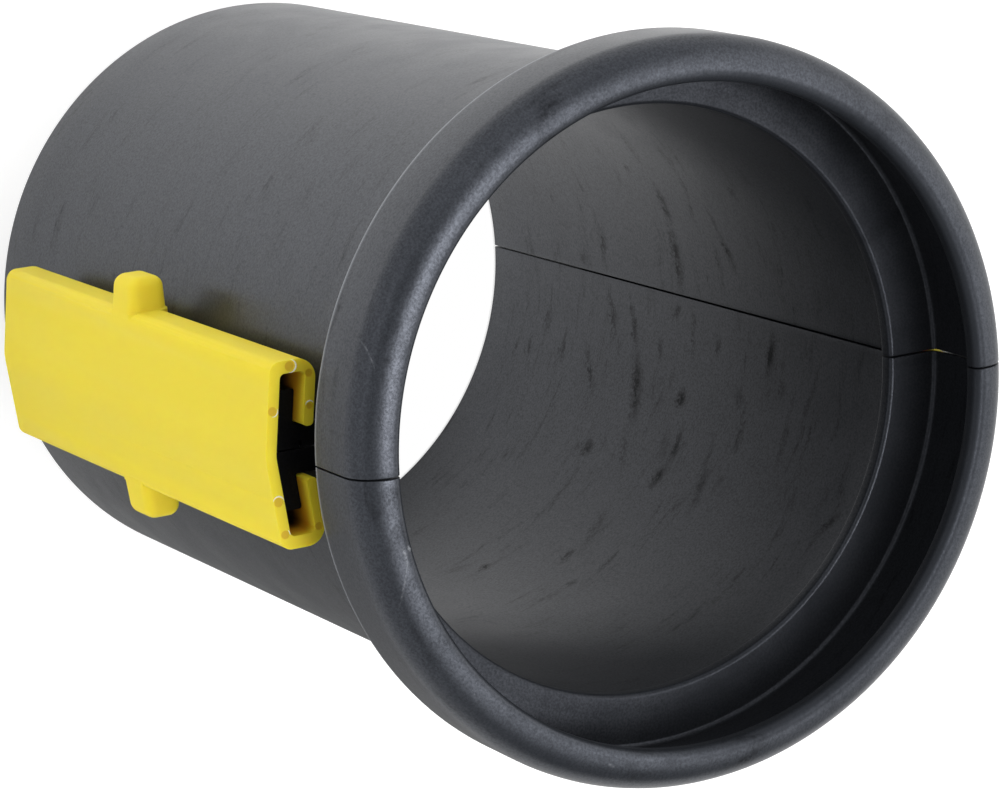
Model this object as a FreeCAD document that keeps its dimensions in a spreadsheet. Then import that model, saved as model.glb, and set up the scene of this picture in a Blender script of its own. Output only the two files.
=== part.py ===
import FreeCAD, Part
import Sketcher
import math
import os
from types import SimpleNamespace

# Split pipe adapter: two moulded half shells, held together by two slide-on locking clips.
# Millimetres. The axis is +Z, the plain end stands on z = 0 and the bell's mouth is at the top.
# The shells part on the plane x = 0, and the clips sit on the -Y and +Y sides.

# The driving dimensions, in millimetres, with angles in degrees
dimensions = {
    # The tube, and the stop ring at its inner end
    "spigot_diameter": 110.0,
    "tube_wall": 2.5,
    "tube_length": 143.0,
    "stop_ring_height": 2.7,
    "stop_ring_width": 2.6,
    "stop_ring_round": 0.8,
    # The bell, with its rolled bead and the relief behind the lip
    "mouth_diameter": 110.2,
    "bell_depth": 17.7,
    "bell_wall": 3.4,
    "socket_relief": 4.1,
    "socket_round": 1.0,
    "lip_edge_round": 1.6,
    "lip_face": 0.15,
    "lip_land": 1.2,
    "lip_underside_rise": 1.5,
    "flare_length": 6.5,
    "band_setback": 2.2,
    # The locking clips
    "clip_width": 31.0,
    "clip_length": 108.0,
    "clip_front_gap": 7.5,
    "hook_standoff": 3.2,
    "hook_thickness": 1.8,
    "hook_opening": 8.6,
    "channel_depth": 4.6,
    "spine_thickness": 1.9,
    "spine_tilt": 7.0,
    "arm_thickness": 2.1,
    "spine_corner_round": 2.0,
    "hook_corner_round": 3.2,
    "hook_tip_round": 0.7,
    "lug_place": 50.0,
    "lug_length": 9.0,
    "lug_height": 5.8,
    "lug_depth": 7.2,
    "lug_draft": 2.0,
    "lug_round": 1.8,
    # The rails in the clips, and the fits between the shells, rails and clips
    "split_gap": 0.3,
    "slide_clearance": 0.2,
    "rail_width": 20.0,
    "rail_front_setback": 3.6,
    "rail_back_setback": 2.0,
    "tongue_width": 1.6,
    "tongue_height": 1.2,
    "tongue_clearance": 0.2,
    "tongue_end_setback": 1.0,
}

document = FreeCAD.newDocument("split_pipe_adapter")
sheet = document.addObject("Spreadsheet::Sheet", "Sizes")


class Size:
    """A size: its value in millimetres or degrees, and its text in an expression."""

    def __init__(self, value, text):
        self.value = float(value)
        self.text = text

    def __add__(self, other):
        other = as_size(other)
        return Size(self.value + other.value, f"({self.text} + {other.text})")

    def __sub__(self, other):
        other = as_size(other)
        return Size(self.value - other.value, f"({self.text} - {other.text})")

    def __mul__(self, other):
        other = as_size(other)
        return Size(self.value * other.value, f"({self.text} * {other.text})")

    def __truediv__(self, other):
        other = as_size(other)
        return Size(self.value / other.value, f"({self.text} / {other.text})")

    def __neg__(self):
        return Size(-self.value, f"(-1 * {self.text})")


def as_size(number):
    """A plain number, such as 2 in a half of a diameter, as a size."""
    if isinstance(number, Size):
        return number
    return Size(number, str(number))


def tangent(angle):
    """The rise over run of an angle."""
    return Size(math.tan(math.radians(angle.value)), f"tan({angle.text} * 1 deg)")


def cosine(angle):
    """The cosine of an angle."""
    return Size(math.cos(math.radians(angle.value)), f"cos({angle.text} * 1 deg)")


for row, (name, value) in enumerate(dimensions.items(), start=1):
    sheet.set(f"A{row}", name)
    sheet.set(f"B{row}", str(value))
    sheet.setAlias(f"B{row}", name)
document.recompute()

dim = SimpleNamespace(**{name: Size(value, f"Sizes.{name}") for name, value in dimensions.items()})

# Radii and levels of the shells
origin = Size(0, "0")
spigot_radius = dim.spigot_diameter / 2
bore_radius = spigot_radius - dim.tube_wall
ring_radius = bore_radius - dim.stop_ring_height
mouth_radius = dim.mouth_diameter / 2
socket_radius = mouth_radius + dim.socket_relief
band_radius = socket_radius + dim.bell_wall
bead_round = band_radius - mouth_radius - dim.lip_edge_round - dim.lip_face
mouth_level = dim.tube_length + dim.bell_depth
split_face = dim.split_gap / 2

# Heights above the axis, and levels, of the clips
clip_front = dim.tube_length - dim.clip_front_gap
clip_back = clip_front - dim.clip_length
hook_root = spigot_radius + dim.hook_standoff
channel_floor = hook_root + dim.hook_thickness
channel_roof = channel_floor + dim.channel_depth
spine_back = channel_roof + dim.spine_thickness / cosine(dim.spine_tilt)
clip_half_width = dim.clip_width / 2
channel_half_width = clip_half_width - dim.arm_thickness
hook_tip = dim.hook_opening / 2

# The rails of the shells fill the middle of the clip's channel
rail_back = clip_back + dim.rail_back_setback
rail_length = clip_front - dim.rail_front_setback - rail_back
rail_root = bore_radius + dim.tube_wall / 2
neck_half_width = hook_tip - dim.slide_clearance
head_half_width = dim.rail_width / 2
head_floor = channel_floor + dim.slide_clearance
head_roof = channel_roof - dim.slide_clearance
tongue_middle = (rail_root + head_roof) / 2
cut_margin = 2


def tilted(height, across):
    """The height of a wall that falls away from the split plane at the spine's tilt."""
    return height - across * tangent(dim.spine_tilt)


def turned(turn):
    """A placement turned about the axis by an angle in degrees."""
    return FreeCAD.Placement(FreeCAD.Vector(0, 0, 0), FreeCAD.Rotation(FreeCAD.Vector(0, 0, 1), turn))


def origin_plane(body, role):
    """One of a body's own origin planes or axes."""
    return next(item for item in body.Origin.OriginFeatures if item.Role == role)


def new_sketch(body, name, role, offset=origin):
    """A sketch on an origin plane of its body, moved along the plane's normal by offset."""
    sketch = body.newObject("Sketcher::SketchObject", name)
    sketch.AttachmentSupport = [(origin_plane(body, role), "")]
    sketch.MapMode = "FlatFace"
    sketch.setExpression("AttachmentOffset.Base.z", offset.text)
    return sketch


def hold(sketch, constraint, size):
    """Add a constraint and bind it to a size."""
    number = sketch.addConstraint(constraint)
    sketch.setExpression(f"Constraints[{number}]", size.text)


def draw_outline(sketch, corners):
    """Draw a closed outline through corners, each (across, up) or (across, up, arc).

    The arc leads to the next corner, as (centre across, centre up, radius, turns left).
    """
    first = sketch.GeometryCount
    for number, corner in enumerate(corners):
        following = corners[(number + 1) % len(corners)]
        start = FreeCAD.Vector(corner[0].value, corner[1].value, 0)
        end = FreeCAD.Vector(following[0].value, following[1].value, 0)
        if len(corner) == 2:
            sketch.addGeometry(Part.LineSegment(start, end), False)
            continue
        across, up, radius, turns_left = corner[2]
        centre = FreeCAD.Vector(across.value, up.value, 0)
        circle = Part.Circle(centre, FreeCAD.Vector(0, 0, 1), radius.value)
        angles = [math.atan2(point.y - centre.y, point.x - centre.x) for point in (start, end)]
        if not turns_left:
            angles.reverse()
        sketch.addGeometry(Part.ArcOfCircle(circle, angles[0], angles[1]), False)
    for number, corner in enumerate(corners):
        previous = (number - 1) % len(corners)
        leaving = 2 if runs_backward(corner) else 1
        arriving = 1 if runs_backward(corners[previous]) else 2
        meeting = Sketcher.Constraint("Coincident", first + previous, arriving, first + number, leaving)
        sketch.addConstraint(meeting)
        for kind, size in (("DistanceX", corner[0]), ("DistanceY", corner[1])):
            place = Sketcher.Constraint(kind, -1, 1, first + number, leaving, size.value)
            hold(sketch, place, size)
        if len(corner) == 3:
            radius = corner[2][2]
            hold(sketch, Sketcher.Constraint("Radius", first + number, radius.value), radius)


def runs_backward(corner):
    """Whether a corner's arc is stored from its far end, because it turns right."""
    return len(corner) == 3 and not corner[2][3]


def pad(body, sketch, name, length):
    """Add material from a sketch, along its normal."""
    feature = body.newObject("PartDesign::Pad", name)
    feature.Profile = sketch
    feature.setExpression("Length", length.text)
    sketch.Visibility = False
    return feature


def pocket(body, sketch, name, length, both_ways=False):
    """Remove material under a sketch, along its normal or to both sides of it."""
    feature = body.newObject("PartDesign::Pocket", name)
    feature.Profile = sketch
    feature.setExpression("Length", length.text)
    if both_ways:
        feature.SideType = "Symmetric"
    else:
        feature.Reversed = True
    sketch.Visibility = False
    before = feature.BaseFeature.Shape.Volume
    document.recompute()
    if feature.Shape.Volume >= before:
        raise RuntimeError(f"{name} removes nothing")
    return feature


def round_edges(body, name, radius, wanted):
    """Round the edges of the body's tip that the test wanted accepts."""
    document.recompute()
    base = body.Tip
    names = []
    for number, edge in enumerate(base.Shape.Edges, start=1):
        if wanted(edge):
            names.append(f"Edge{number}")
    if not names:
        raise RuntimeError(f"{name} finds no edge")
    feature = body.newObject("PartDesign::Fillet", name)
    feature.Base = (base, names)
    feature.setExpression("Radius", radius.text)
    return feature


def rises_at(edge, places):
    """Whether an edge runs along Z at one of the places (x, y)."""
    ends = [vertex.Point for vertex in edge.Vertexes]
    if len(ends) < 2:
        return False
    near = 0.001
    return any(all(abs(end.x - x) < near and abs(end.y - y) < near for end in ends) for x, y in places)


def wall_outline():
    """The half shell's wall in section, as (radius, level), from the plain end up and back."""
    bead_start = mouth_level - bead_round
    bead_middle = band_radius - bead_round
    lip_middle = mouth_radius + dim.lip_edge_round
    land_top = mouth_level - dim.lip_edge_round
    land_foot = land_top - dim.lip_land
    ring_foot = dim.tube_length - dim.stop_ring_width
    ring_middle = ring_radius + dim.stop_ring_round
    ring_top = dim.tube_length - dim.stop_ring_round
    socket_middle = socket_radius - dim.socket_round
    socket_foot = dim.tube_length + dim.socket_round
    return [
        (bore_radius, origin),
        (spigot_radius, origin),
        (spigot_radius, dim.tube_length - dim.flare_length),
        (band_radius, dim.tube_length + dim.band_setback),
        (band_radius, bead_start, (bead_middle, bead_start, bead_round, True)),
        (bead_middle, mouth_level),
        (lip_middle, mouth_level, (lip_middle, land_top, dim.lip_edge_round, True)),
        (mouth_radius, land_top),
        (mouth_radius, land_foot),
        (socket_radius, land_foot - dim.lip_underside_rise),
        (socket_radius, socket_foot, (socket_middle, socket_foot, dim.socket_round, False)),
        (socket_middle, dim.tube_length),
        (ring_middle, dim.tube_length, (ring_middle, ring_top, dim.stop_ring_round, True)),
        (ring_radius, ring_top),
        (ring_radius, ring_foot),
        (bore_radius, ring_foot),
    ]


def rail_outline():
    """A rail in section on the -Y side: a neck on the tube and a head in the clip's channel."""
    return [
        (origin, -rail_root),
        (neck_half_width, -rail_root),
        (neck_half_width, -tilted(head_floor, neck_half_width)),
        (head_half_width, -tilted(head_floor, head_half_width)),
        (head_half_width, -tilted(head_roof, head_half_width)),
        (origin, -head_roof),
    ]


def box_outline(left, right, low, high):
    """A rectangle between two sizes across and two sizes up."""
    return [(left, low), (right, low), (right, high), (left, high)]


def make_half_shell(label, turn):
    """One half shell, turned about the axis: half a wall, two rails, a tongue and its slot."""
    body = document.addObject("PartDesign::Body", label)
    body.Label = label

    wall_sketch = new_sketch(body, "WallSketch", "XZ_Plane")
    draw_outline(wall_sketch, wall_outline())
    wall = body.newObject("PartDesign::Revolution", "Wall")
    wall.Profile = wall_sketch
    wall.ReferenceAxis = (wall_sketch, ["V_Axis"])
    wall.Angle = 180
    wall.Midplane = True
    wall_sketch.Visibility = False

    rail_sketch = new_sketch(body, "RailSketch", "XY_Plane", rail_back)
    draw_outline(rail_sketch, rail_outline())
    rail = pad(body, rail_sketch, "Rail", rail_length)
    document.recompute()
    both_rails = body.newObject("PartDesign::Mirrored", "BothRails")
    both_rails.Originals = [rail]
    both_rails.MirrorPlane = (origin_plane(body, "XZ_Plane"), [""])
    body.Tip = both_rails
    document.recompute()

    # The mating faces stand back from the split plane by half the gap
    parting_sketch = new_sketch(body, "PartingSketch", "XY_Plane")
    reach = spine_back + cut_margin
    draw_outline(parting_sketch, box_outline(-split_face, split_face, -reach, reach))
    pocket(body, parting_sketch, "Parting", mouth_level * 2 + cut_margin, both_ways=True)

    # A tongue along the -Y rail enters the slot of the other shell's rail
    tongue_sketch = new_sketch(body, "TongueSketch", "XY_Plane", rail_back + dim.tongue_end_setback)
    tongue_low = -(tongue_middle + dim.tongue_width / 2)
    tongue_high = -(tongue_middle - dim.tongue_width / 2)
    tongue_tip = split_face - dim.tongue_height
    draw_outline(tongue_sketch, box_outline(tongue_tip, neck_half_width / 2, tongue_low, tongue_high))
    pad(body, tongue_sketch, "Tongue", rail_length - dim.tongue_end_setback * 2)
    document.recompute()

    slot_sketch = new_sketch(body, "SlotSketch", "XY_Plane", rail_back)
    slot_low = tongue_middle - dim.tongue_width / 2 - dim.tongue_clearance
    slot_high = tongue_middle + dim.tongue_width / 2 + dim.tongue_clearance
    slot_depth = dim.tongue_clearance - tongue_tip
    draw_outline(slot_sketch, box_outline(origin, slot_depth, slot_low, slot_high))
    pocket(body, slot_sketch, "Slot", rail_length)

    body.Placement = turned(turn)
    return body


def clip_outline():
    """The locking clip in section on the -Y side: a bent spine, two arms and two hooks."""
    right = [
        (clip_half_width, -tilted(spine_back, clip_half_width)),
        (clip_half_width, -tilted(hook_root, clip_half_width)),
        (hook_tip, -tilted(hook_root, hook_tip)),
        (hook_tip, -tilted(channel_floor, hook_tip)),
        (channel_half_width, -tilted(channel_floor, channel_half_width)),
        (channel_half_width, -tilted(channel_roof, channel_half_width)),
    ]
    left = [(-across, up) for across, up in reversed(right)]
    return [(origin, -spine_back)] + right + [(origin, -channel_roof)] + left


def make_locking_clip(label, turn):
    """One locking clip, turned about the axis: a channel with a driving lug on each side."""
    body = document.addObject("PartDesign::Body", label)
    body.Label = label

    channel_sketch = new_sketch(body, "ChannelSketch", "XY_Plane", clip_back)
    draw_outline(channel_sketch, clip_outline())
    pad(body, channel_sketch, "Channel", dim.clip_length)

    def corners(across, height):
        """The clip's two long edges at a distance across and a height above the axis."""
        low = -tilted(height, across).value
        return [(across.value, low), (-across.value, low)]

    spine_corners = corners(clip_half_width, spine_back)
    hook_corners = corners(clip_half_width, hook_root)
    hook_tips = corners(hook_tip, hook_root) + corners(hook_tip, channel_floor)
    round_edges(body, "SpineCorners", dim.spine_corner_round, lambda edge: rises_at(edge, spine_corners))
    round_edges(body, "HookCorners", dim.hook_corner_round, lambda edge: rises_at(edge, hook_corners))
    round_edges(body, "HookTips", dim.hook_tip_round, lambda edge: rises_at(edge, hook_tips))
    document.recompute()

    # The lugs start inside the arms and are flush with the spine's outer corners
    lug_foot = clip_half_width - dim.arm_thickness / 2
    lug_sketch = new_sketch(body, "LugSketch", "YZ_Plane", lug_foot)
    lug_outer = -tilted(spine_back, clip_half_width)
    lug_middle = clip_back + dim.lug_place
    lug_low = lug_middle - dim.lug_length / 2
    lug_high = lug_middle + dim.lug_length / 2
    draw_outline(lug_sketch, box_outline(lug_outer, lug_outer + dim.lug_depth, lug_low, lug_high))
    lug = pad(body, lug_sketch, "Lug", dim.lug_height + dim.arm_thickness / 2)
    lug.setExpression("TaperAngle", f"-1 * {dim.lug_draft.text}")
    document.recompute()
    both_lugs = body.newObject("PartDesign::Mirrored", "BothLugs")
    both_lugs.Originals = [lug]
    both_lugs.MirrorPlane = (origin_plane(body, "YZ_Plane"), [""])
    body.Tip = both_lugs

    def on_lug(edge):
        """Whether an edge belongs to the part of a lug that stands out."""
        ends = [abs(vertex.Point.x) for vertex in edge.Vertexes]
        return max(ends) > clip_half_width.value + dim.lug_height.value / 2

    round_edges(body, "LugEdges", dim.lug_round, on_lug)

    body.Placement = turned(turn)
    return body


# The second of each pair is the same moulding, turned half round the axis
nodes = []
for shell_name, shell_turn in (("right_half_shell", 0), ("left_half_shell", 180)):
    nodes.append(make_half_shell(shell_name, shell_turn))
for clip_name, clip_turn in (("front_locking_clip", 0), ("rear_locking_clip", 180)):
    nodes.append(make_locking_clip(clip_name, clip_turn))

document.recompute()
for item in document.Objects:
    if "Invalid" in item.State or "Error" in item.State:
        raise RuntimeError(f"{item.Name} failed: {item.State}")

os.makedirs("parts", exist_ok=True)
for node in nodes:
    if node.Shape.isNull() or not node.Shape.isValid() or len(node.Shape.Solids) != 1:
        raise RuntimeError(f"{node.Label} is not one valid solid")
    node.Shape.exportStep(os.path.join("parts", f"{node.Label}.step"))
    box = node.Shape.optimalBoundingBox()
    print(node.Label, "volume", round(node.Shape.Volume), "mm3, box",
          [round(value, 2) for value in (box.XMin, box.YMin, box.ZMin, box.XMax, box.YMax, box.ZMax)])
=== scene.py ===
import math
import bmesh
import bpy
from mathutils import Matrix, Vector


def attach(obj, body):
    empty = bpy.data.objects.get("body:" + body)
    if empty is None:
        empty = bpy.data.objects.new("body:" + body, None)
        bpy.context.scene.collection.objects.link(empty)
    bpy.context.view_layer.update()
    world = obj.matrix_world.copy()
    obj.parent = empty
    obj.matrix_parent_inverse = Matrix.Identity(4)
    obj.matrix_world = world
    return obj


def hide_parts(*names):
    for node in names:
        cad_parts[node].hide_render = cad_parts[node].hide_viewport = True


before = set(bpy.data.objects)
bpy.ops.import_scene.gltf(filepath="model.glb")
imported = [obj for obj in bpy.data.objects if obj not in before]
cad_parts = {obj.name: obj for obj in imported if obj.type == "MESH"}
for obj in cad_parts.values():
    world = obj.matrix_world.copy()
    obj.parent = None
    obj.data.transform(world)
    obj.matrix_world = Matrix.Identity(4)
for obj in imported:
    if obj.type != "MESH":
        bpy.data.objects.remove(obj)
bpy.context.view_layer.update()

# Split pipe adapter: two moulded half shells, held together by two slide-on locking clips.
# Sizes are in millimetres and turn into metres where a mesh is made. The axis is +Z, the shells part
# on the plane x = 0, and the clips sit on the -Y and +Y sides.
MM = 0.001

# The tube and the stop ring at its inner end
SPIGOT_RADIUS = 55.0
BORE_RADIUS = 52.5
TUBE_END_ROUND = 0.5
RING_RADIUS = 49.8
RING_WIDTH = 2.6
RING_FACE_ROUND = 0.8
RING_BACK_ROUND = 0.3
TUBE_LENGTH = 143.0
FLARE_LENGTH = 6.5
FLARE_FOOT_ROUND = 3.0

# The bell, its rolled bead and the relief behind the lip
MOUTH_RADIUS = 55.1
SOCKET_RADIUS = 59.2
SOCKET_FOOT_ROUND = 1.0
SOCKET_HEAD_ROUND = 0.5
BAND_RADIUS = 62.6
BAND_SETBACK = 2.2
BAND_EDGE_ROUND = 0.6
MOUTH_LEVEL = 160.7
LIP_LAND_FOOT = 157.9
LIP_LAND_ROUND = 0.3
LIP_UNDERSIDE_RISE = 1.5
BEAD_ROUND = 5.75
LIP_EDGE_ROUND = 1.6

# The seam between the shells
SPLIT_FACE = 0.15
SEAM_ROUND = 0.12

# The camera at the photograph's viewing angle, and the photograph's size in pixels
CAMERA_PLACE = Vector((-146.52, -330.64, 690.39))
CAMERA_FORWARD = Vector((0.21981, 0.47284, -0.85329)).normalized()
CAMERA_UPWARD = Vector((-0.97404, 0.15490, -0.16508))
CAMERA_RIGHT = CAMERA_FORWARD.cross(CAMERA_UPWARD).normalized()
CAMERA_UP = CAMERA_RIGHT.cross(CAMERA_FORWARD)
CAMERA_LENS = 142.01
CAMERA_SENSOR = 36
CAMERA_NEAR_METRES = 0.01
CAMERA_FAR_METRES = 20
PHOTO_WIDTH = 1000
PHOTO_HEIGHT = 792

# The locking clips and the rails that they slide on
CLIP_BACK = 27.5
CLIP_FRONT = 135.5
CLIP_HALF_WIDTH = 15.5
CLIP_BEVEL = 0.3
CLIP_BEVEL_ANGLE = 40
CHANNEL_HALF_WIDTH = 13.4
CHANNEL_FLOOR = 60.0
CHANNEL_ROOF = 64.6
CHANNEL_CORNER_ROUND = 0.9
CHANNEL_BEND_ROUND = 6
HOOK_TIP = 4.3
HOOK_ROOT = 58.2
HOOK_CORNER_ROUND = 3.2
HOOK_TIP_ROUND = 0.7
SPINE_THICKNESS = 1.9
SPINE_TILT = math.radians(7)
SPINE_BACK = CHANNEL_ROOF + SPINE_THICKNESS / math.cos(SPINE_TILT)
SPINE_CORNER_ROUND = 2.0
SPINE_BEND_ROUND = 8
SLIDE_CLEARANCE = 0.2
RAIL_ROOT = 53.75
RAIL_BACK = 29.5
RAIL_FRONT = 131.9
RAIL_HALF_WIDTH = 10.0
RAIL_NECK_ROUND = 0.3
RAIL_HEAD_ROUND = 0.4

# The tongue on one rail of each shell, and the slot for it in the other
TONGUE_MIDDLE = (RAIL_ROOT + CHANNEL_ROOF - SLIDE_CLEARANCE) / 2
TONGUE_HALF_WIDTH = 0.8
TONGUE_REACH = 1.05
TONGUE_CLEARANCE = 0.2
TONGUE_END_SETBACK = 1.0
CUT_MARGIN = 1

# The driving lugs on the clips' sides
LUG_MIDDLE = 77.5
LUG_HALF_LENGTH = 4.5
LUG_HEIGHT = 5.8
LUG_DEPTH = 7.2
LUG_DRAFT = math.radians(2)
LUG_ROUND = 1.9
LUG_TOP_CORNER_SHARE = 0.9
LUG_ROOT_ROUND = 0.35
LUG_SUNK_FOOT = 1.2

# The shoulder that carries the spine's face on to a lug
SHOULDER_SETBACK = 0.5
SHOULDER_SINK = 0.03
SHOULDER_END_GAP = 0.4
SHOULDER_DEPTH = SPINE_THICKNESS * 0.8
SHOULDER_ROUND = 0.7

# The ejector pins' marks on the clips' front face, each (x, y, radius), as shallow recesses
CLIP_FACE = CLIP_FRONT - 0.1
PIN_MARK_DEPTH = 0.08
PIN_MARKS = (
    (-14.5, -61.2, 0.80),
    (-12.9, -57.8, 0.65),
    (-7.5, -58.1, 0.50),
    (-7.6, -64.75, 0.75),
    (7.4, -64.75, 0.75),
    (12.9, -63.95, 0.70),
    (12.5, -57.8, 0.65),
)

# The burrs beside them, each (x, y, radius, first angle, last angle, half thickness),
# and how thick they are at their ends
BURRS = (
    (-14.5, -61.1, 1.05, -80, 105, 0.17),
    (-7.6, -58.05, 0.75, -175, -25, 0.14),
    (-7.6, -64.7, 0.90, -25, 110, 0.11),
    (7.4, -64.75, 1.00, -170, -5, 0.14),
    (12.9, -63.95, 0.85, -60, 15, 0.08),
)
BURR_END_SHARE = 0.15

# How finely the meshes are divided: the angles between the points of a round corner in degrees,
# the longest straight runs in millimetres, and the numbers of parts
WALL_CORNER_STEP = 9
WALL_LONGEST_RUN = 9
WALL_SWEEP_STEPS = 180
SEAM_ROUND_STEPS = 3
RAIL_CORNER_STEP = 30
CLIP_CORNER_STEP = 7.5
CLIP_LONGEST_RUN = 4
CLIP_BEVEL_PARTS = 3
LUG_CORNER_STEP = 10
LUG_ROUND_STEPS = 8
PIN_MARK_SIDES = 24
BURR_STEPS = 16
BURR_SIDES = 8
DISC_SIDES = 128
SMOOTH_ANGLE = 32

# Dark smears on the bore's wall, each (x, y) of its two ends in the photograph's pixels,
# its half width in millimetres and its strength
SMEARS = (
    ((655, 184), (672, 228), 0.75, 0.75),
    ((670, 226), (681, 292), 0.95, 0.85),
    ((704, 205), (722, 240), 0.40, 0.50),
    ((718, 232), (737, 274), 0.55, 0.75),
    ((714, 245), (720, 272), 0.45, 0.60),
    ((731, 188), (734, 198), 0.60, 0.60),
    ((602, 226), (604, 266), 0.50, 0.65),
    ((582, 250), (585, 264), 0.80, 0.50),
    ((660, 246), (659, 270), 0.60, 0.45),
    ((625, 164), (629, 172), 0.45, 0.70),
    ((608, 283), (615, 342), 0.50, 0.70),
    ((629, 292), (637, 352), 0.50, 0.65),
    ((637, 350), (633, 424), 1.05, 0.80),
    ((679, 286), (675, 318), 0.55, 0.70),
    ((693, 306), (693, 362), 0.40, 0.50),
    ((661, 336), (660, 362), 0.50, 0.50),
    ((585, 342), (593, 397), 0.45, 0.65),
    ((773, 332), (768, 376), 0.80, 0.80),
    ((783, 382), (781, 397), 0.60, 0.60),
    ((718, 336), (718, 354), 0.60, 0.55),
    ((682, 392), (681, 404), 0.90, 0.90),
    ((738, 390), (741, 408), 0.70, 0.45),
    ((683, 428), (667, 468), 0.60, 0.75),
    ((669, 462), (650, 488), 0.80, 0.75),
    ((588, 441), (588, 453), 1.00, 0.70),
    ((578, 442), (578, 450), 0.60, 0.50),
    ((668, 430), (659, 468), 0.90, 0.35),
    ((710, 462), (689, 512), 0.80, 0.55),
    ((625, 428), (622, 470), 0.50, 0.45),
    ((609, 505), (580, 552), 0.90, 0.40),
    ((572, 550), (562, 562), 0.80, 0.75),
    ((578, 580), (566, 586), 0.60, 0.55),
    ((841, 512), (818, 534), 0.60, 0.70),
    ((821, 360), (794, 440), 0.40, 0.40),
    ((488, 564), (481, 571), 0.60, 1.00),
)
SMEAR_RAGGEDNESS = 4.0
SMEAR_SPREAD = 2.2

# The thin curved mark near the bore's rim, in the same form
RIM_MARKS = (
    ((457, 623), (467, 620.3), 0.13, 0.9),
    ((465, 620.7), (483, 619.7), 0.13, 0.9),
    ((481, 619.7), (497, 623.5), 0.13, 0.9),
)

# Light scratches on the bell's bead, in the same form
SCRATCHES = (
    ((406, 560), (401, 608), 0.20, 0.55),
    ((402, 546), (407, 570), 0.35, 0.45),
    ((401, 550), (404, 553), 0.45, 0.80),
    ((407, 547), (409, 549), 0.40, 0.80),
    ((346, 338), (352, 366), 0.14, 0.50),
    ((358, 352), (352, 384), 0.12, 0.45),
    ((372, 340), (378, 372), 0.12, 0.40),
    ((352, 427), (357, 436), 0.16, 0.60),
    ((352, 462), (357, 467), 0.16, 0.60),
    ((608, 764), (612, 766), 0.30, 0.60),
    ((472, 690), (476, 702), 0.16, 0.35),
)
SCRATCH_LEVEL = MOUTH_LEVEL - 0.6

# How far out a mark keeps its full strength, and where it ends, as shares of its half width
STROKE_CORE = 0.1
STROKE_END = 1.25

# Colours of the shells, the strength of their gloss and their roughness, and how much both vary
SHELL_DARK = (0.0180, 0.0200, 0.0240, 1)
SHELL_LIGHT = (0.0220, 0.0240, 0.0280, 1)
# The streak colour also serves as painted shade in the socket behind the bead.
SHELL_STREAK_AND_SHADE = (0.004, 0.004, 0.0045, 1)
# A painted highlight on the bell's back edge, and also the colour of the real light scratches on the bead.
SHELL_EDGE_HIGHLIGHT_AND_SCRATCH = (0.26, 0.27, 0.29, 1)
# Painted shade: the rails' near-black colour stands in for the shade under the clips and the bell.
SHELL_RAIL_SHADE = (0.006, 0.006, 0.0065, 1)
SHELL_GLOSS = 0.485
SHELL_GLOSS_SWING = 0.10
SHELL_GLOSS_TINT = (0.81, 0.86, 1.0, 1)
SHELL_ROUGHNESS = 0.32
SHELL_ROUGHNESS_SWING = 0.03
SHELL_IOR = 1.5
SHELL_GRAIN_RELIEF = 0.15
RELIEF_METRES = 0.0001

# The scales of the shells' noises per millimetre, and the limits between which the mottle counts
GRAIN_SCALE = 2.4
RAGGED_SCALE = 1.1
BLOTCH_SCALE = 0.55
MOTTLE_SCALE = 0.09
MOTTLE_LIMITS = (0.3, 0.7)

# The scales of the faint streaks and of their patches round the tube and along it, and the layers
# of the noise that they lie in
STREAK_SCALES = (0.10, 0.42)
STREAK_LAYER = 3.0
PATCH_SCALES = (0.035, 0.09)
PATCH_LAYER = 5.0

# Steps on a noise, each (low, high, strength up to low, strength from high on)
STREAK_STEP = (0.50, 0.74, 0.0, 1.0)
PATCH_STEP = (0.40, 0.60, 0.0, 0.8)
FAINT_BREAKS = (0.30, 0.60, 0.25, 1.0)
SMEAR_BREAKS = (0.30, 0.60, 0.35, 1.35)
SCRATCH_BREAKS = (0.40, 0.62, 0.1, 0.7)
GRAIN_STEP = (0.25, 0.75, 0.56, 1.44)

# How far the painted highlight on the bell's back edge reaches, and the limits of the shells' zones, each
# the radius, level or y at which a soft step starts and the one at which it ends
EDGE_HIGHLIGHT_REACH = 0.85
EDGE_HIGHLIGHT_RADII = (BAND_RADIUS - 0.45, BAND_RADIUS - 0.1)
BORE_RADII = (BORE_RADIUS + 0.5, BORE_RADIUS + 1.0)
BEAD_LEVELS = (MOUTH_LEVEL - BEAD_ROUND, MOUTH_LEVEL - BEAD_ROUND + 1.0)
SOCKET_FOOT_LEVELS = (142.6, 142.9)
SOCKET_HEAD_LEVELS = (156.5, 158.5)
SOCKET_RADII = (59.4, 59.8)
INNER_EDGE_LEVELS = (157.2, 158.2)
INNER_EDGE_RADII = (56.6, 57.4)
INNER_EDGE_SIDES = (-20.0, 15.0)
RAIL_RADII = (55.3, 55.8)
RAIL_LEVELS = (133.5, 134.5)

# How much of the gloss is lost in each zone, and how far the base takes on a mark's colour: the streaks',
# the painted shade in the socket and the painted highlight on the bell's back edge
DULLING = {"streak": 0.8, "socket": 0.35, "bore": 0.20, "inner_edge": 0.75, "rail": 0.85}
STREAK_SHARE = 0.8
SOCKET_SHADE_SHARE = 0.5
EDGE_HIGHLIGHT_SHARE = 0.8

# Colours of the clips, how deep light gets into them, their gloss and their roughness
CLIP_YELLOW = (0.86, 0.695, 0.038, 1)
CLIP_YELLOW_DEEP = (0.83, 0.66, 0.030, 1)
# The orange and the brown are painted shade deep in the channel.
CLIP_SHADE_ORANGE = (0.68, 0.34, 0.015, 1)
CLIP_SHADE_BROWN = (0.035, 0.014, 0.006, 1)
CLIP_MARK = (0.62, 0.38, 0.020, 1)
CLIP_MARK_SHARE = 0.7
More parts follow.
